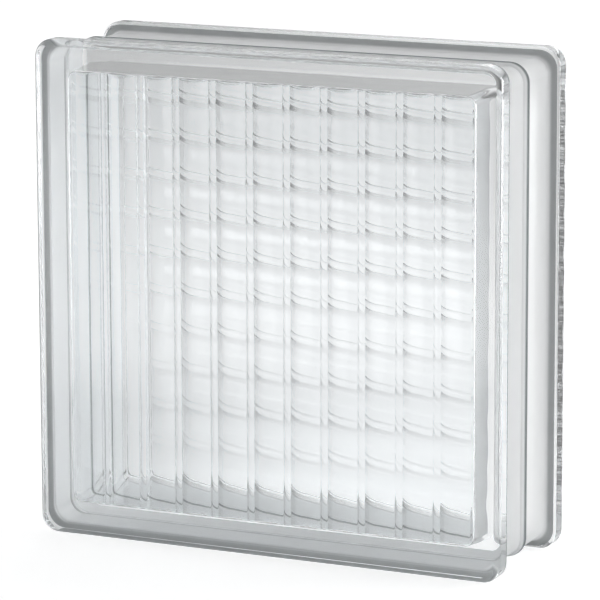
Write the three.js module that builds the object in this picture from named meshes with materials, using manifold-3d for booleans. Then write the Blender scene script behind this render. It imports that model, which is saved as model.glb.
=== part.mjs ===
// Hollow pressed-glass building block, in millimetres, +Z up.
//
// The block is two pressed half shells fused rim to rim at mid-depth. Each half is a square pane
// with a lip round its face, a wall that stands back from the lip to leave room for mortar, and
// parallel flutes pressed into the inner side of the pane. Both halves come from one mould: the
// back one is turned a quarter turn, so its flutes lie level and cross the upright front ones.
//
// A half is built with its outer face at z = 0 and its rim at z = HALF_DEPTH, flutes along y.
// The block stands on its lips, with the origin in the middle of its foot and its front at -Y.
import * as THREE from "three";
import { mergeVertices } from "three/addons/utils/BufferGeometryUtils.js";
import Module from "manifold-3d";

// Overall size
const BLOCK_SIDE = 240;
const BLOCK_DEPTH = 80;

// Lip round the face
const LIP_DEPTH = 10.4;
const LIP_CORNER_RADIUS = 9;
const FACE_EDGE_RADIUS = 3;
const LIP_BACK_RADIUS = 1.2;

// Mortar groove behind the lip, and the bead of glass along the weld
const GROOVE_DEPTH = 4.8;
const GROOVE_CORNER_RADIUS = 8;
const BEAD_HEIGHT = 1.6;
const BEAD_HALF_WIDTH = 3.4;

// Pane and hollow
const PANE_THICKNESS = 10;
const RIM_WIDTH = 15;
const WALL_DRAFT_DEGREES = 3;
const HOLLOW_CORNER_RADIUS = 5;
const HOLLOW_FLOOR_RADIUS = 2.4;

// Flutes: wide shallow channels. The rib between each two has a crest on each side and a
// narrow channel of its own between the crests.
const FLUTE_COUNT = 11;
const FLUTE_DEPTH = 1.2;
const RIB_WIDTH = 3.8;
const RIB_HOLLOW = 0.33;
const CREST_RADIUS = 1;

// Facets
const CORNER_STEPS = 8;
const FACE_EDGE_STEPS = 5;
const LIP_BACK_STEPS = 3;
const COVE_STEPS = 5;
const BEAD_STEPS = 5;
const FLOOR_EDGE_STEPS = 4;
const FLUTE_STEPS = 6;
const RIB_STEPS = 3;
const CREST_STEPS = 3;

// How far a cutting tool runs past what it cuts
const OVERCUT = 2;

const QUARTER_TURN = Math.PI / 2;
const HALF_SIDE = BLOCK_SIDE / 2;
const HALF_DEPTH = BLOCK_DEPTH / 2;
const HOLLOW_HALF = HALF_SIDE - RIM_WIDTH;
const FLOOR_DEPTH = PANE_THICKNESS - FLUTE_DEPTH;

const wasm = await Module();
wasm.setup();

// The corners of a square with rounded corners, anticlockwise seen from +z.
function roundedSquare(half, radius) {
  const points = [];
  for (let corner = 0; corner < 4; corner += 1) {
    const centre = new THREE.Vector2(half - radius, half - radius);
    centre.rotateAround(new THREE.Vector2(), corner * QUARTER_TURN);
    for (let step = 0; step <= CORNER_STEPS; step += 1) {
      const angle = (corner + step / CORNER_STEPS) * QUARTER_TURN;
      points.push([centre.x + radius * Math.cos(angle), centre.y + radius * Math.sin(angle)]);
    }
  }
  return points;
}

// A closed body through rounded squares of the given depth, half width and corner radius.
function loft(sections) {
  const rings = sections.map(({ half, radius }) => roundedSquare(half, radius));
  const count = rings[0].length;
  const positions = rings.flatMap((ring, level) =>
    ring.flatMap(([x, y]) => [x, y, sections[level].depth]),
  );
  const index = [];
  for (let level = 1; level < rings.length; level += 1) {
    for (let i = 0; i < count; i += 1) {
      const next = (i + 1) % count;
      const below = (level - 1) * count;
      const above = level * count;
      index.push(below + i, below + next, above + next);
      index.push(below + i, above + next, above + i);
    }
  }
  const top = (rings.length - 1) * count;
  for (let i = 1; i < count - 1; i += 1) {
    index.push(0, i + 1, i);
    index.push(top, top + i, top + i + 1);
  }
  const geometry = new THREE.BufferGeometry();
  geometry.setAttribute("position", new THREE.Float32BufferAttribute(positions, 3));
  geometry.setIndex(index);
  return geometry;
}

function solidOf(geometry) {
  const bare = geometry.clone();
  bare.deleteAttribute("normal");
  bare.deleteAttribute("uv");
  const merged = mergeVertices(bare);
  return new wasm.Manifold(
    new wasm.Mesh({
      numProp: 3,
      vertProperties: new Float32Array(merged.attributes.position.array),
      triVerts: new Uint32Array(merged.index.array),
    }),
  );
}

function geometryOf(solid) {
  const mesh = solid.getMesh();
  const geometry = new THREE.BufferGeometry();
  geometry.setAttribute("position", new THREE.BufferAttribute(mesh.vertProperties, 3));
  geometry.setIndex(new THREE.BufferAttribute(mesh.triVerts, 1));
  geometry.computeVertexNormals();
  return geometry;
}

// The points of a quarter circle as [cosine, sine], from the first axis to the second.
function quarterArc(steps) {
  return Array.from({ length: steps + 1 }, (_, step) => {
    const angle = (step / steps) * QUARTER_TURN;
    return [Math.cos(angle), Math.sin(angle)];
  });
}

// The outside of a half, from its face to its rim: rounded face edge, flat lip, cove down into
// the groove, groove floor and half of the weld bead.
function outerSections() {
  const section = (depth, inset, radius) => ({ depth, half: HALF_SIDE - inset, radius });
  const faceEdge = quarterArc(FACE_EDGE_STEPS).map(([cos, sin]) => {
    const inset = FACE_EDGE_RADIUS * (1 - sin);
    return section(FACE_EDGE_RADIUS * (1 - cos), inset, LIP_CORNER_RADIUS - inset);
  });
  const lipBack = quarterArc(LIP_BACK_STEPS).map(([cos, sin]) => {
    const inset = LIP_BACK_RADIUS * (1 - cos);
    return section(LIP_DEPTH - LIP_BACK_RADIUS * (1 - sin), inset, LIP_CORNER_RADIUS);
  });
  const coveRadius = GROOVE_DEPTH - LIP_BACK_RADIUS;
  const cove = quarterArc(COVE_STEPS).map(([cos, sin]) => {
    const radius = THREE.MathUtils.lerp(LIP_CORNER_RADIUS, GROOVE_CORNER_RADIUS, sin);
    return section(LIP_DEPTH + coveRadius * (1 - cos), LIP_BACK_RADIUS + coveRadius * sin, radius);
  });
  const beadRadius = (BEAD_HALF_WIDTH ** 2 + BEAD_HEIGHT ** 2) / (2 * BEAD_HEIGHT);
  const beadAngle = Math.asin(BEAD_HALF_WIDTH / beadRadius);
  const bead = Array.from({ length: BEAD_STEPS + 1 }, (_, step) => {
    const angle = beadAngle * (1 - step / BEAD_STEPS);
    const rise = BEAD_HEIGHT - beadRadius * (1 - Math.cos(angle));
    const depth = HALF_DEPTH - beadRadius * Math.sin(angle);
    return section(depth, GROOVE_DEPTH - rise, GROOVE_CORNER_RADIUS + rise);
  });
  return [...faceEdge, ...lipBack, ...cove.slice(1), ...bead];
}

// The hollow without its flutes: a drafted square plug with a rounded floor edge.
function plugSections() {
  const draft = Math.tan(THREE.MathUtils.degToRad(WALL_DRAFT_DEGREES));
  const section = (depth, half) => ({ depth, half, radius: HOLLOW_CORNER_RADIUS });
  const floorEdge = quarterArc(FLOOR_EDGE_STEPS).map(([cos, sin]) =>
    section(
      FLOOR_DEPTH + HOLLOW_FLOOR_RADIUS * (1 - cos),
      HOLLOW_HALF - HOLLOW_FLOOR_RADIUS * (1 - sin),
    ),
  );
  const mouthDepth = HALF_DEPTH + OVERCUT;
  const wallHeight = mouthDepth - FLOOR_DEPTH - HOLLOW_FLOOR_RADIUS;
  return [...floorEdge, section(mouthDepth, HOLLOW_HALF + wallHeight * draft)];
}

// A round channel between two crests of one height: its radius, and how far it leans at its
// ends, where it runs smoothly into the crests.
function channelBetween(width, depth, steps) {
  const radii = ((width / 2) ** 2 + depth ** 2) / (2 * depth);
  return { depth, steps, radius: radii - CREST_RADIUS, lean: Math.asin(width / 2 / radii) };
}

// The points of a channel as [across, depth], from its left end to its right.
function channelPoints(middle, { depth, steps, radius, lean }) {
  return Array.from({ length: steps + 1 }, (_, step) => {
    const angle = THREE.MathUtils.lerp(-lean, lean, step / steps);
    const rise = radius * (1 - Math.cos(angle));
    return [middle + radius * Math.sin(angle), PANE_THICKNESS - depth + rise];
  });
}

// The points of a crest between the two channels it joins, without its ends.
function crestPoints(middle, leftLean, rightLean) {
  return Array.from({ length: CREST_STEPS - 1 }, (_, step) => {
    const angle = THREE.MathUtils.lerp(-leftLean, rightLean, (step + 1) / CREST_STEPS);
    const fall = CREST_RADIUS * (1 - Math.cos(angle));
    return [middle + CREST_RADIUS * Math.sin(angle), PANE_THICKNESS - fall];
  });
}

// The air in front of the fluted side of the pane. The flutes' section is drawn from rib to rib
// and runs past both walls.
function flutedAir() {
  const pitch = (2 * HOLLOW_HALF) / FLUTE_COUNT;
  const flute = channelBetween(pitch - RIB_WIDTH, FLUTE_DEPTH, FLUTE_STEPS);
  const rib = channelBetween(RIB_WIDTH, RIB_HOLLOW, RIB_STEPS);
  const reach = HALF_SIDE + OVERCUT;
  const mouthDepth = HALF_DEPTH + OVERCUT;

  const section = channelPoints(-HOLLOW_HALF, rib);
  for (let k = 1; k <= FLUTE_COUNT; k += 1) {
    const right = -HOLLOW_HALF + k * pitch;
    const left = right - pitch;
    section.push(
      ...crestPoints(left + RIB_WIDTH / 2, rib.lean, flute.lean),
      ...channelPoints((left + right) / 2, flute),
      ...crestPoints(right - RIB_WIDTH / 2, flute.lean, rib.lean),
      ...channelPoints(right, rib),
    );
  }
  const outline = [
    [-reach, mouthDepth],
    [-reach, PANE_THICKNESS],
    ...section,
    [reach, PANE_THICKNESS],
    [reach, mouthDepth],
  ].map(([across, depth]) => new THREE.Vector2(across, depth));

  const air = new THREE.ExtrudeGeometry(new THREE.Shape(outline), {
    depth: 2 * reach,
    bevelEnabled: false,
  });
  air.rotateX(QUARTER_TURN);
  air.translate(0, reach, 0);
  return air;
}

function halfShell() {
  const hollow = solidOf(loft(plugSections())).intersect(solidOf(flutedAir()));
  return geometryOf(solidOf(loft(outerSections())).subtract(hollow));
}

const glass = new THREE.MeshStandardMaterial({
  color: 0xdde6e6,
  roughness: 0.04,
  metalness: 0,
  transparent: true,
  opacity: 0.35,
});

const block = new THREE.Group();
block.name = "glass_block";

const frontHalf = new THREE.Mesh(halfShell(), glass);
frontHalf.name = "front_half";
frontHalf.position.set(0, -HALF_DEPTH, HALF_SIDE);
frontHalf.rotation.set(-QUARTER_TURN, 0, 0);
block.add(frontHalf);

const backHalf = new THREE.Mesh(halfShell(), glass);
backHalf.name = "back_half";
backHalf.position.set(0, HALF_DEPTH, HALF_SIDE);
backHalf.rotation.set(QUARTER_TURN, 0, QUARTER_TURN);
block.add(backHalf);

export default block;
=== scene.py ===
"""The looks of the hollow pressed-glass block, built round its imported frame. Metres, +Z up."""

import math

import bpy
import numpy as np
from mathutils import Matrix, Vector


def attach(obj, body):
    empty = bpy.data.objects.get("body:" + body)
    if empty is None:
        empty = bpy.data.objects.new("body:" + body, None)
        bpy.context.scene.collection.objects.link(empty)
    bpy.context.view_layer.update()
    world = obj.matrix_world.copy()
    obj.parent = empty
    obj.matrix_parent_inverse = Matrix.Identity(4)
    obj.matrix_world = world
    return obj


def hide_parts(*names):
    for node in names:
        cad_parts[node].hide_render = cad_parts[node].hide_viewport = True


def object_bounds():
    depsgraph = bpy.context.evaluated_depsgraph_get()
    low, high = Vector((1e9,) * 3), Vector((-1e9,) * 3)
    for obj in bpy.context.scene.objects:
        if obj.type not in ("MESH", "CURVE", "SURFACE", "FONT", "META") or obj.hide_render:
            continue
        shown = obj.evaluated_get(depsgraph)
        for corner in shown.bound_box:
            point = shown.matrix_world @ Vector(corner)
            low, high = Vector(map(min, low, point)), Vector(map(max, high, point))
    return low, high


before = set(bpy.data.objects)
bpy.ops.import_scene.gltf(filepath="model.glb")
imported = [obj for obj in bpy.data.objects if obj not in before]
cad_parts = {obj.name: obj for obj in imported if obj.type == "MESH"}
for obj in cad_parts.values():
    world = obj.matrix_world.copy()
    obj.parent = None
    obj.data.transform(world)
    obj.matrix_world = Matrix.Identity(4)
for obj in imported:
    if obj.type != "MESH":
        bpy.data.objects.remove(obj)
CAD_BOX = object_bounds()

MM = 0.001
LOW, HIGH = CAD_BOX
CENTRE = (LOW + HIGH) / 2

# The block, in millimetres. Its side and depth come from the frame; the rest repeats part.mjs.
HALF_SIDE = (HIGH.x - LOW.x) / 2 / MM
HALF_DEPTH = (HIGH.y - LOW.y) / 2 / MM
LIP_DEPTH = 10.4
LIP_CORNER_RADIUS = 9
FACE_EDGE_RADIUS = 3
LIP_BACK_RADIUS = 1.2
GROOVE_DEPTH = 4.8
GROOVE_CORNER_RADIUS = 8
BEAD_HEIGHT = 1.6
BEAD_HALF_WIDTH = 3.4
PANE_THICKNESS = 10
RIM_WIDTH = 15
WALL_DRAFT = math.radians(3)
HOLLOW_CORNER_RADIUS = 5
HOLLOW_FLOOR_RADIUS = 2.4
FLUTE_COUNT = 11
FLUTE_DEPTH = 1.2
RIB_WIDTH = 3.8
RIB_HOLLOW = 0.33
CREST_RADIUS = 1.0

HOLLOW_HALF = HALF_SIDE - RIM_WIDTH
FLAT_HALF = HOLLOW_HALF - HOLLOW_CORNER_RADIUS  # the hollow without its round corners
FLOOR_DEPTH = PANE_THICKNESS - FLUTE_DEPTH
PITCH = 2 * HOLLOW_HALF / FLUTE_COUNT

# Finer than the solids: the fillet at the foot of the weld bead, and how far fire polishing has
# softened the crease where a flute runs out
BEAD_FOOT_RADIUS = 0.8
FIRE_POLISH = 0.5

# Facets: the steps that each arc or stretch is cut into
CORNER_STEPS = 12
ARC_STEPS = 10
RIB_STEPS = 3
CREST_STEPS = 4
CHANNEL_STEPS = 5
STATION_GAP = 0.1  # the least room, in millimetres, between a flute's line and a corner's start

QUARTER_TURN = math.pi / 2
TOUCH = 1e-6  # how near two places in millimetres count as one
KEY_DECIMALS = 6


# --- Camera: the photograph's angle and framing, with its rise taken by tilting, not by shift ---

PHOTO_SIDE = 600
SENSOR_WIDTH = 36.0
FOCAL_PIXELS = 4053.2
CAMERA_YAW = math.radians(25.49)
CAMERA_PITCH = math.radians(11.39)
CAMERA_ROLL = math.radians(-0.19)
CAMERA_DISTANCE = 1.9225
CAMERA_OFFSET = (0.0004, -0.0033)


def make_camera():
    sin_yaw, cos_yaw = math.sin(CAMERA_YAW), math.cos(CAMERA_YAW)
    sin_pitch, cos_pitch = math.sin(CAMERA_PITCH), math.cos(CAMERA_PITCH)
    forward = Vector((-sin_yaw * cos_pitch, cos_yaw * cos_pitch, -sin_pitch))
    level_right = Vector((cos_yaw, sin_yaw, 0))
    level_up = level_right.cross(forward)
    right = level_right * math.cos(CAMERA_ROLL) + level_up * math.sin(CAMERA_ROLL)
    up = right.cross(forward)
    sideways, upwards = CAMERA_OFFSET
    eye = CENTRE - forward * CAMERA_DISTANCE + right * sideways + up * upwards
    data = bpy.data.cameras.new("camera")
    data.sensor_width = SENSOR_WIDTH
    data.lens = SENSOR_WIDTH * FOCAL_PIXELS / PHOTO_SIDE
    camera = bpy.data.objects.new("camera", data)
    axes = Matrix((right, up, -forward)).transposed().to_4x4()
    camera.matrix_world = Matrix.Translation(eye) @ axes
    bpy.context.scene.collection.objects.link(camera)
    bpy.context.scene.camera = camera


# --- The outside of the glass: rounded squares lofted along a profile of arcs ---


def arc(depth, inset, radius, start, end, hollow=False):
    """Points of a profile arc as (depth, inset, tilt), in millimetres and radians.

    Start and end are tilts in degrees, the way the surface faces: -90 is to the front,
    0 outwards and 90 to the back. Inset is measured in from the block's side.
    """
    side = -1 if hollow else 1
    tilts = np.linspace(math.radians(start), math.radians(end), ARC_STEPS + 1)
    return [
        (depth + side * radius * math.sin(t), inset - side * radius * math.cos(t), t)
        for t in tilts
    ]


def outer_profile():
    """A half's rings from the face to the weld, as (depth, inset, tilt, corner radius)."""
    face_edge = arc(FACE_EDGE_RADIUS, FACE_EDGE_RADIUS, FACE_EDGE_RADIUS, -90, 0)
    lip_back = arc(LIP_DEPTH - LIP_BACK_RADIUS, LIP_BACK_RADIUS, LIP_BACK_RADIUS, 0, 90)
    cove_radius = GROOVE_DEPTH - LIP_BACK_RADIUS
    cove = arc(LIP_DEPTH + cove_radius, LIP_BACK_RADIUS, cove_radius, 90, 0, hollow=True)

    # The weld bead's round crest stands on a small fillet that runs out into the groove's floor.
    bead_radius = (BEAD_HALF_WIDTH**2 + BEAD_HEIGHT**2) / (2 * BEAD_HEIGHT)
    crest_inset = GROOVE_DEPTH - BEAD_HEIGHT
    reach = bead_radius + BEAD_FOOT_RADIUS
    rise = reach - BEAD_HEIGHT
    flank = math.degrees(math.acos(rise / reach))
    foot_depth = HALF_DEPTH - math.sqrt(reach**2 - rise**2)
    foot_inset = GROOVE_DEPTH - BEAD_FOOT_RADIUS
    foot = arc(foot_depth, foot_inset, BEAD_FOOT_RADIUS, 0, -flank, hollow=True)
    bead = arc(HALF_DEPTH, crest_inset + bead_radius, bead_radius, -flank, 0)

    rings = [(d, i, t, LIP_CORNER_RADIUS - i) for d, i, t in face_edge]
    rings += [(d, i, t, LIP_CORNER_RADIUS) for d, i, t in lip_back]
    for d, i, t in cove[1:]:
        share = (i - LIP_BACK_RADIUS) / cove_radius
        radius = LIP_CORNER_RADIUS + share * (GROOVE_CORNER_RADIUS - LIP_CORNER_RADIUS)
        rings.append((d, i, t, radius))
    rings += [(d, i, t, GROOVE_CORNER_RADIUS + GROOVE_DEPTH - i) for d, i, t in foot]
    rings += [(d, i, t, GROOVE_CORNER_RADIUS + GROOVE_DEPTH - i) for d, i, t in bead[1:]]
    return rings


def rounded_square(half, radius):
    """Points of a square with round corners, with the outward direction at each."""
    quarters = [np.linspace(k, k + 1, CORNER_STEPS + 1) for k in range(4)]
    angles = np.concatenate(quarters) * QUARTER_TURN
    corner = np.repeat(np.arange(4), CORNER_STEPS + 1) * QUARTER_TURN + QUARTER_TURN / 2
    outward = np.stack([np.cos(angles), np.sin(angles)], 1)
    reach = (half - radius) * math.sqrt(2)
    centres = reach * np.stack([np.cos(corner), np.sin(corner)], 1)
    return centres + radius * outward, outward


class Surface:
    """Vertices with their normals, and faces, each coated or bare. Millimetres."""

    def __init__(self):
        self.points = []
        self.normals = []
        self.faces = []
        self.coated = []
        self.count = 0

    def add(self, points, normals):
        """Adds rows of points and returns the number of the first."""
        first = self.count
        self.points.append(np.asarray(points, float).reshape(-1, 3))
        self.normals.append(np.asarray(normals, float).reshape(-1, 3))
        self.count += len(self.points[-1])
        return first

    def add_faces(self, faces, coated=False):
        self.faces += faces
        self.coated += [coated] * len(faces)

    def bridge(self, ring_a, ring_b, coated=False):
        """Quads between two closed rings of vertex numbers of the same length."""
        following_a, following_b = np.roll(ring_a, -1), np.roll(ring_b, -1)
        quads = np.stack([ring_a, following_a, following_b, ring_b], 1)
        self.add_faces(quads.tolist(), coated)


def place_direction(direction, back):
    """A half's own direction (across, along, inwards) turned to x, y, z."""
    across, along, inwards = direction[..., 0], direction[..., 1], direction[..., 2]
    if back:
        return np.stack([along, -inwards, across], -1)
    return np.stack([across, inwards, along], -1)


def place(plan, depth, back):
    """Where a half's own plan (across, along) and depth lie: x, y, z about the block's centre."""
    from_weld = np.asarray(depth) - HALF_DEPTH
    return place_direction(np.concatenate([plan, from_weld[..., None]], -1), back)


def outer_surface(surface):
    """The whole outside: both halves' rings, closed by the two faces. What lies deeper than
    the lips is coated."""
    numbers = []
    depths = []
    for back in (False, True):
        side = -1 if back else 1
        # The rings run from the front face to the back, with the one at the weld made once.
        rings = outer_profile()[:-1][::-1] if back else outer_profile()
        for depth, inset, tilt, radius in rings:
            plan, outward = rounded_square(HALF_SIDE - inset, radius)
            points = np.insert(plan, 1, side * (depth - HALF_DEPTH), axis=1)
            lean = side * math.sin(tilt)
            normals = np.insert(outward * math.cos(tilt), 1, lean, axis=1)
            numbers.append(surface.add(points, normals) + np.arange(len(points)))
            depths.append(depth)
    for k in range(len(numbers) - 1):
        coated = min(depths[k], depths[k + 1]) > LIP_DEPTH - TOUCH
        surface.bridge(numbers[k], numbers[k + 1], coated)
    surface.add_faces([numbers[0].tolist(), numbers[-1][::-1].tolist()])


# --- The hollow: each pane's fluted side as a grid, and the drafted walls between the two ---


def hollow_arc(width, depth):
    """Radius and edge angle of a round channel that runs smoothly into a crest on each side,
    from the width between the two crests and the depth below them."""
    radii = ((width / 2) ** 2 + depth**2) / (2 * depth)
    return radii - CREST_RADIUS, math.asin(width / 2 / radii)


FLUTE_RADIUS, FLUTE_LEAN = hollow_arc(PITCH - RIB_WIDTH, FLUTE_DEPTH)
RIB_RADIUS, RIB_LEAN = hollow_arc(RIB_WIDTH, RIB_HOLLOW)

# Where a crest starts and ends, from the middle of its rib
CREST_START = RIB_RADIUS * math.sin(RIB_LEAN)
CREST_END = RIB_WIDTH / 2 + CREST_RADIUS * math.sin(FLUTE_LEAN)


def flute_stations():
    """Where the grid's lines cross a half, from wall to wall: close in the floor's rounded edge
    and on the crests, wider in the flutes."""
    marks = (
        (-CREST_START, CREST_START, RIB_STEPS),
        (CREST_START, CREST_END, CREST_STEPS),
        (CREST_END, PITCH - CREST_END, CHANNEL_STEPS),
        (PITCH - CREST_END, PITCH - CREST_START, CREST_STEPS),
    )
    one = np.concatenate([np.linspace(a, b, n, endpoint=False) for a, b, n in marks])
    across = np.concatenate([-HOLLOW_HALF + k * PITCH + one for k in range(FLUTE_COUNT + 1)])
    across = across[np.abs(across) < FLAT_HALF - STATION_GAP]
    lean = np.linspace(0, QUARTER_TURN, ARC_STEPS + 1)
    edge = HOLLOW_HALF - HOLLOW_FLOOR_RADIUS * (1 - np.sin(lean))
    edge = np.concatenate([[FLAT_HALF, (FLAT_HALF + edge[0]) / 2], edge])
    return np.concatenate([-edge[::-1], across, edge])


def flute_section(across):
    """Depth of the fluted side and its slope, for places across the flutes."""
    off = (across + HOLLOW_HALF + PITCH / 2) % PITCH - PITCH / 2
    side, off = np.sign(off), np.abs(off)
    in_rib = off <= CREST_START
    in_flute = off >= CREST_END

    x = np.select([in_rib, in_flute], [off, off - PITCH / 2], off - RIB_WIDTH / 2)
    radius = np.select([in_rib, in_flute], [RIB_RADIUS, FLUTE_RADIUS], CREST_RADIUS)
    bulge = np.where(in_rib | in_flute, -1, 1)
    middle = np.select(
        [in_rib, in_flute],
        [PANE_THICKNESS - RIB_HOLLOW + RIB_RADIUS, FLOOR_DEPTH + FLUTE_RADIUS],
        PANE_THICKNESS - CREST_RADIUS,
    )
    rise = np.sqrt(radius**2 - x**2)
    return middle + bulge * rise, -bulge * side * x / rise


def pane_grid():
    """The fluted side of a pane: plan places, depths and normals (across, along, depth)."""
    stations = flute_stations()
    u, v = np.meshgrid(stations, stations, indexing="ij")
    p = np.clip((np.abs(u) - FLAT_HALF) / HOLLOW_CORNER_RADIUS, 0, 1)
    q = np.clip((np.abs(v) - FLAT_HALF) / HOLLOW_CORNER_RADIUS, 0, 1)

    # The square corner of the grid is drawn round, so that its edge follows the round wall.
    round_p, round_q = p * np.sqrt(1 - q**2 / 2), q * np.sqrt(1 - p**2 / 2)
    across = np.where(p > 0, np.sign(u) * (FLAT_HALF + HOLLOW_CORNER_RADIUS * round_p), u)
    along = np.where(q > 0, np.sign(v) * (FLAT_HALF + HOLLOW_CORNER_RADIUS * round_q), v)
    reach = np.hypot(round_p, round_q)
    safe = np.maximum(reach, TOUCH)
    inward = np.stack([-np.sign(u) * round_p / safe, -np.sign(v) * round_q / safe], -1)

    from_wall = HOLLOW_CORNER_RADIUS * (1 - reach)
    edge_run = np.clip(HOLLOW_FLOOR_RADIUS - from_wall, 0, HOLLOW_FLOOR_RADIUS)
    edge_fall = np.sqrt(HOLLOW_FLOOR_RADIUS**2 - edge_run**2)
    edge_depth = FLOOR_DEPTH + HOLLOW_FLOOR_RADIUS - edge_fall
    flute_depth, flute_slope = flute_section(across)

    # A smooth maximum of the two depths, and the share that each has in its slope.
    gap = edge_depth - flute_depth
    blend = np.clip(1 - np.abs(gap) / FIRE_POLISH, 0, None)
    depth = np.maximum(edge_depth, flute_depth) + FIRE_POLISH * blend**2 / 4
    edge_share = np.clip(0.5 + gap / FIRE_POLISH / 2, 0, 1)

    normal = np.zeros(u.shape + (3,))
    normal[..., :2] = (edge_share * edge_run)[..., None] * inward
    normal[..., 0] -= (1 - edge_share) * edge_fall * flute_slope
    normal[..., 2] = edge_fall
    normal /= np.linalg.norm(normal, axis=-1, keepdims=True)
    return np.stack([across, along], -1), depth, normal


def border(grid_numbers):
    """The grid's outline as one closed ring, anticlockwise in (across, along)."""
    return np.concatenate(
        [
            grid_numbers[:-1, 0],
            grid_numbers[-1, :-1],
            grid_numbers[:0:-1, -1],
            grid_numbers[0, :0:-1],
        ]
    )


def plan_key(point):
    """A point of the plan as a key, the same for points that touch."""
    return tuple(np.round(point, KEY_DECIMALS))


def hollow_surface(surface):
    """Both panes' fluted sides, and the walls that run from each to the seam between them."""
    plan, depth, normal = pane_grid()
    size = len(plan)
    wall_top = FLOOR_DEPTH + HOLLOW_FLOOR_RADIUS
    spread = (HALF_DEPTH - wall_top) * math.tan(WALL_DRAFT)
    rims = []
    for back in (False, True):
        first = surface.add(place(plan, depth, back), place_direction(normal, back))
        numbers = first + np.arange(size * size).reshape(size, size)
        cells = np.stack(
            [numbers[:-1, :-1], numbers[:-1, 1:], numbers[1:, 1:], numbers[1:, :-1]], -1
        ).reshape(-1, 4)
        surface.add_faces(cells.tolist())
        rims.append(border(numbers))
    edge = border(np.arange(size * size).reshape(size, size))
    outline = plan.reshape(-1, 2)[edge]
    inward = normal.reshape(-1, 3)[edge][:, :2]
    inward /= np.linalg.norm(inward, axis=1, keepdims=True)
    past_flat = np.abs(outline) > FLAT_HALF - TOUCH
    moved = outline + spread * np.sign(outline) * past_flat
    first = surface.add(np.insert(moved, 1, 0.0, axis=1), np.insert(inward, 1, 0.0, axis=1))
    seam = first + np.arange(len(edge))
    front_rim, back_rim = rims
    surface.bridge(front_rim, seam)

    # The back rim is turned a quarter turn, so its points are matched to the seam's by place.
    turned = {plan_key(point): n for point, n in zip(outline[:, ::-1], back_rim)}
    matched = np.array([turned[plan_key(point)] for point in outline])
    surface.bridge(seam, matched)


def facing(points, normals, face):
    """True if a face's winding agrees with its vertices' normals."""
    corners = points[face]
    newell = np.cross(corners, np.roll(corners, -1, axis=0)).sum(0)
    return newell @ normals[face].sum(0) > 0


def make_glass():
    """The two halves as one closed skin of glass, as they are fused."""
    surface = Surface()
    outer_surface(surface)
    hollow_surface(surface)
    points = np.concatenate(surface.points)
    normals = np.concatenate(surface.normals)
    normals /= np.linalg.norm(normals, axis=1, keepdims=True)
    faces = [f if facing(points, normals, f) else f[::-1] for f in surface.faces]
    mesh = bpy.data.meshes.new("fused_block")
    mesh.from_pydata((points * MM + np.array(CENTRE)).tolist(), [], faces)
    mesh.polygons.foreach_set("use_smooth", [True] * len(mesh.polygons))
    mesh.polygons.foreach_set("material_index", np.array(surface.coated, int).tolist())
    mesh.normals_split_custom_set_from_vertices(normals.tolist())
    mesh.validate()
    block = bpy.data.objects.new("fused_block", mesh)
    bpy.context.scene.collection.objects.link(block)
    return block


# --- Materials: clear glass, slightly wavy, and the white coating in the mortar groove ---

GLASS_COLOUR = (0.968, 0.984, 0.992, 1)
GLASS_IOR = 1.52

COAT_FULL = (0.97, 0.98, 0.985, 1)
# The dark grey below is painted shade, put on the weld bead's crest and up the lips' backs
COAT_PAINTED_SHADE = (0.17, 0.19, 0.195, 1)
COAT_TRANSLUCENCY = 0.48

# Relief: the noise's size in millimetres, its detail, and the depth in millimetres
GLASS_WAVES = (16, 1, 0.06)
COAT_GRAIN = (1.4, 2, 0.012)
MOTTLE_SIZE = 9
MOTTLE_DETAIL = 4
MOTTLE_SHARE = 0.06

# Where the painted shade fades in and out, in millimetres from the weld: in towards the
# lips, from 12.4 to 11 mm behind the face, and out off the crest of the weld bead
SHADE_AT_LIP = (HALF_DEPTH - 12.4, HALF_DEPTH - 11.0)
SHADE_ON_CREST = (0.8, 2.1)
LIP_SHADE_SHARE = 0.7  # how dark the painted shade gets at the lips, where 1 is as dark as on the crest


def math_node(tree, operation, first, second=None):
    """A math node whose inputs are sockets or numbers."""
    node = tree.nodes.new("ShaderNodeMath")
    node.operation = operation
    for socket, value in zip(node.inputs, (first, second)):
        if isinstance(value, bpy.types.NodeSocket):
            tree.links.new(value, socket)
        elif value is not None:
            socket.default_value = value
    return node.outputs[0]


def smooth_step(tree, value, low, high, top=1.0):
    """A smooth rise from 0 to top as the value goes from low to high."""
    step = tree.nodes.new("ShaderNodeMapRange")
    step.interpolation_type = "SMOOTHSTEP"
    step.inputs["From Min"].default_value = low
    step.inputs["From Max"].default_value = high
    step.inputs["To Max"].default_value = top
    tree.links.new(value, step.inputs["Value"])
    return step.outputs["Result"]


def split_axes(tree, position):
    split = tree.nodes.new("ShaderNodeSeparateXYZ")
    tree.links.new(position, split.inputs[0])
    return split.outputs


def noise(tree, position, size, detail):
    """Soft noise from 0 to 1 whose features are about the given size in millimetres."""
    texture = tree.nodes.new("ShaderNodeTexNoise")
    texture.inputs["Scale"].default_value = 1 / (size * MM)
    texture.inputs["Detail"].default_value = detail
    tree.links.new(position, texture.inputs["Vector"])
    return texture.outputs["Fac"]


def add_relief(tree, shader, position, size, detail, depth):
    """Noise as relief, with its size and depth in millimetres."""
    bump = tree.nodes.new("ShaderNodeBump")
    bump.inputs["Distance"].default_value = depth * MM
    tree.links.new(noise(tree, position, size, detail), bump.inputs["Height"])
    tree.links.new(bump.outputs["Normal"], shader.inputs["Normal"])


def new_material(name):
    """A material, its node tree, its shader and the position on the object."""
    material = bpy.data.materials.new(name)
    material.use_nodes = True
    tree = material.node_tree
    position = tree.nodes.new("ShaderNodeTexCoord").outputs["Object"]
    return material, tree, tree.nodes["Principled BSDF"], position


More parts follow.
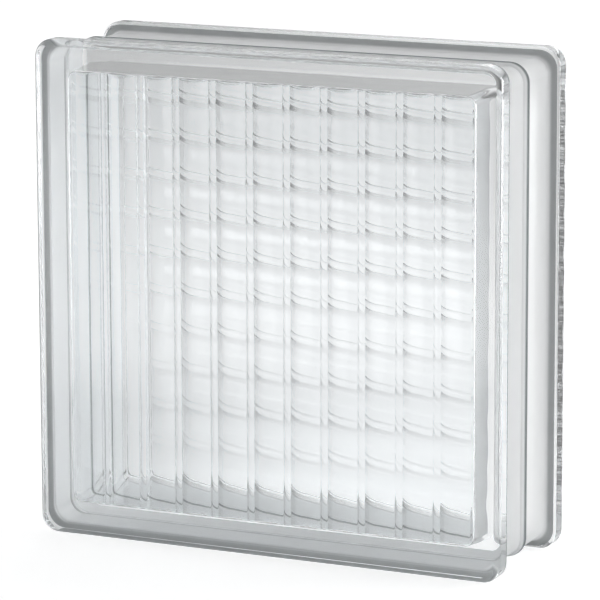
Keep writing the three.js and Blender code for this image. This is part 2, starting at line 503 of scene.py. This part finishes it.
def glass_material():
    material, tree, shader, position = new_material("clear_glass")
    shader.inputs["Base Color"].default_value = GLASS_COLOUR
    shader.inputs["Roughness"].default_value = 0.0
    shader.inputs["IOR"].default_value = GLASS_IOR
    shader.inputs["Transmission Weight"].default_value = 1.0
    add_relief(tree, shader, position, *GLASS_WAVES)
    return material


def coating_material():
    """White and translucent: even on the floor of the groove, with painted shade in dark grey
    on the weld bead's crest and where it runs out up the lips' backs."""
    material, tree, shader, position = new_material("edge_coating")
    shader.inputs["Roughness"].default_value = 1.0
    shader.inputs["IOR"].default_value = GLASS_IOR
    shader.inputs["Transmission Weight"].default_value = COAT_TRANSLUCENCY
    # Painted shade: the coating turns dark grey on the weld bead's crest and up the lips' backs,
    # and a random mottle is added on top
    from_weld = math_node(tree, "ABSOLUTE", split_axes(tree, position)["Y"])
    shade_at_lip = smooth_step(tree, from_weld, SHADE_AT_LIP[0] * MM, SHADE_AT_LIP[1] * MM)
    shade_at_lip = math_node(tree, "MULTIPLY", shade_at_lip, LIP_SHADE_SHARE)
    off_crest = smooth_step(tree, from_weld, SHADE_ON_CREST[0] * MM, SHADE_ON_CREST[1] * MM)
    painted_shade_and_mottle = math_node(tree, "MAXIMUM", shade_at_lip, math_node(tree, "SUBTRACT", 1, off_crest))
    mottle = noise(tree, position, MOTTLE_SIZE, MOTTLE_DETAIL)
    mottle = math_node(tree, "MULTIPLY", mottle, MOTTLE_SHARE)
    painted_shade_and_mottle = math_node(tree, "ADD", painted_shade_and_mottle, mottle)
    colour = tree.nodes.new("ShaderNodeMix")
    colour.data_type = "RGBA"
    tree.links.new(painted_shade_and_mottle, colour.inputs["Factor"])
    colour.inputs["A"].default_value = COAT_FULL
    colour.inputs["B"].default_value = COAT_PAINTED_SHADE
    tree.links.new(colour.outputs["Result"], shader.inputs["Base Color"])
    add_relief(tree, shader, position, *COAT_GRAIN)
    return material


# --- Studio: a pale floor and broad soft lights in a dim room ---

# Each soft light: name, azimuth (0 behind the block, 90 on its right), elevation, the angles
# from its middle at which it starts to fade and at which it is gone, and level
SOFT_LIGHTS = (
    ("key on the right", 56, 10, 8, 26, 6.7),
    ("fill on the left", -96, 2, 5, 44, 2.5),
    ("backdrop", -8, -14, 10, 34, 0.47),
    ("wall behind", 0, 0, 20, 50, 0.16),
    ("wall above", -28, 28, 8, 30, 0.18),
    ("softbox above and behind", 0, 52, 12, 40, 0.95),
    ("reflector in front", 180, -5, 20, 60, 0.35),
)
ROOM_LEVEL = 0.1

FLOOR_COLOUR = (0.85, 0.85, 0.85, 1)
FLOOR_ROUGHNESS = 0.9
FLOOR_HALF = 4.0

# What the glass shows of the floor. Far off, the floor takes the studio's level in the direction
# from FLOOR_VIEWPOINT, less what the lights already give it, so that no horizon shows. Close to
# the block a pool of light is added, brighter in front of the block than behind it.
FLOOR_VIEWPOINT = (0.26, -0.54, 0.12)
FLOOR_LIT = 0.45
POOL_REACH = 0.5
POOL_BEHIND = 0.2
POOL_IN_FRONT = 1.0
CONTACT_REACH = 0.03
UNDER_BLOCK = 0.95  # the share of that light which is left under the block
CAMERA_GLOW = 0.62  # added for the camera alone: white in the open, with a faint shadow left
FIRST_BOUNCE = 0.5  # a diffuse depth below this is a ray that no dull surface has scattered


def compass(azimuth, elevation):
    """The direction of an azimuth and an elevation in degrees."""
    azimuth, elevation = math.radians(azimuth), math.radians(elevation)
    level = math.cos(elevation)
    return (level * math.sin(azimuth), level * math.cos(azimuth), math.sin(elevation))


def light_level(tree, direction):
    """How bright the studio is in a direction."""
    level = ROOM_LEVEL
    for name, azimuth, elevation, inner, outer, strength in SOFT_LIGHTS:
        along = tree.nodes.new("ShaderNodeVectorMath")
        along.operation = "DOT_PRODUCT"
        along.label = name
        along.inputs[1].default_value = compass(azimuth, elevation)
        tree.links.new(direction, along.inputs[0])
        gone, full = math.cos(math.radians(outer)), math.cos(math.radians(inner))
        glow = smooth_step(tree, along.outputs["Value"], gone, full, strength)
        level = math_node(tree, "ADD", level, glow)
    return level


def make_world():
    """The soft lights all round, with plain white behind them for the camera."""
    world = bpy.data.worlds.new("studio")
    bpy.context.scene.world = world
    world.use_nodes = True
    tree = world.node_tree
    direction = tree.nodes.new("ShaderNodeTexCoord").outputs["Generated"]
    seen = tree.nodes.new("ShaderNodeLightPath").outputs["Is Camera Ray"]
    level = math_node(tree, "MAXIMUM", light_level(tree, direction), seen)
    background = tree.nodes["Background"]
    background.inputs["Color"].default_value = (1, 1, 1, 1)
    tree.links.new(level, background.inputs["Strength"])


def far_glow(tree, position):
    """The studio's level beyond a place on the floor, above what the floor already shows."""
    sight = tree.nodes.new("ShaderNodeVectorMath")
    sight.operation = "SUBTRACT"
    sight.inputs[1].default_value = FLOOR_VIEWPOINT
    tree.links.new(position, sight.inputs[0])
    outward = tree.nodes.new("ShaderNodeVectorMath")
    outward.operation = "NORMALIZE"
    tree.links.new(sight.outputs["Vector"], outward.inputs[0])
    level = light_level(tree, outward.outputs["Vector"])
    return math_node(tree, "MAXIMUM", math_node(tree, "SUBTRACT", level, FLOOR_LIT), 0)


def pool_glow(tree, position):
    """The pool of light near the block, which fades with distance from the block's foot."""
    distance = tree.nodes.new("ShaderNodeVectorMath")
    distance.operation = "LENGTH"
    tree.links.new(position, distance.inputs[0])
    fall = math_node(tree, "MULTIPLY", distance.outputs["Value"], -1 / POOL_REACH)
    fall = math_node(tree, "EXPONENT", fall)
    behind = smooth_step(tree, split_axes(tree, position)["Y"], -2 * HALF_DEPTH * MM, 0)
    in_front = math_node(tree, "SUBTRACT", 1, behind)
    level = math_node(tree, "MULTIPLY", in_front, POOL_IN_FRONT - POOL_BEHIND)
    return math_node(tree, "MULTIPLY", math_node(tree, "ADD", level, POOL_BEHIND), fall)


def contact_shade(tree, position):
    """1 in the open, falling to UNDER_BLOCK at the block's foot."""
    axes = split_axes(tree, position)
    across = math_node(tree, "ABSOLUTE", axes["X"])
    along = math_node(tree, "ABSOLUTE", axes["Y"])
    across = math_node(tree, "SUBTRACT", across, HALF_SIDE * MM)
    along = math_node(tree, "SUBTRACT", along, HALF_DEPTH * MM)
    clear = smooth_step(tree, math_node(tree, "MAXIMUM", across, along), 0, CONTACT_REACH)
    return math_node(tree, "MAXIMUM", clear, UNDER_BLOCK)


def floor_material():
    """Pale and dull. It is lit as any surface is, and glows white for the camera and in the
    glass."""
    material, tree, shader, position = new_material("floor")
    shader.inputs["Base Color"].default_value = FLOOR_COLOUR
    shader.inputs["Roughness"].default_value = FLOOR_ROUGHNESS
    shader.inputs["Specular IOR Level"].default_value = 0
    glow = math_node(tree, "ADD", far_glow(tree, position), pool_glow(tree, position))
    glow = math_node(tree, "MULTIPLY", glow, contact_shade(tree, position))
    path = tree.nodes.new("ShaderNodeLightPath").outputs
    in_glass = math_node(tree, "MAXIMUM", path["Is Glossy Ray"], path["Is Transmission Ray"])
    direct = math_node(tree, "LESS_THAN", path["Diffuse Depth"], FIRST_BOUNCE)
    glow = math_node(tree, "MULTIPLY", glow, math_node(tree, "MULTIPLY", in_glass, direct))
    white = math_node(tree, "MULTIPLY", path["Is Camera Ray"], CAMERA_GLOW)
    glow = math_node(tree, "ADD", glow, white)
    shader.inputs["Emission Color"].default_value = (1, 1, 1, 1)
    tree.links.new(glow, shader.inputs["Emission Strength"])
    return material


def make_floor():
    half = FLOOR_HALF
    mesh = bpy.data.meshes.new("floor")
    corners = [(-half, -half, 0), (half, -half, 0), (half, half, 0), (-half, half, 0)]
    mesh.from_pydata(corners, [], [(0, 1, 2, 3)])
    mesh.materials.append(floor_material())
    floor = bpy.data.objects.new("floor", mesh)
    bpy.context.scene.collection.objects.link(floor)


# --- The scene ---

# Light has to pass the panes, walls and coating many times, and fine reflections stay sharp.
TRANSMISSION_BOUNCES = 32
GLOSSY_BOUNCES = 16
DIFFUSE_BOUNCES = 24

scene = bpy.context.scene
scene.view_settings.view_transform = "Standard"
scene.cycles.max_bounces = TRANSMISSION_BOUNCES
scene.cycles.transmission_bounces = TRANSMISSION_BOUNCES
scene.cycles.glossy_bounces = GLOSSY_BOUNCES
scene.cycles.diffuse_bounces = DIFFUSE_BOUNCES
scene.cycles.blur_glossy = 0

make_camera()
make_world()
make_floor()
block = make_glass()
block.data.materials.append(glass_material())
block.data.materials.append(coating_material())
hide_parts("front_half", "back_half")
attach(block, "root")
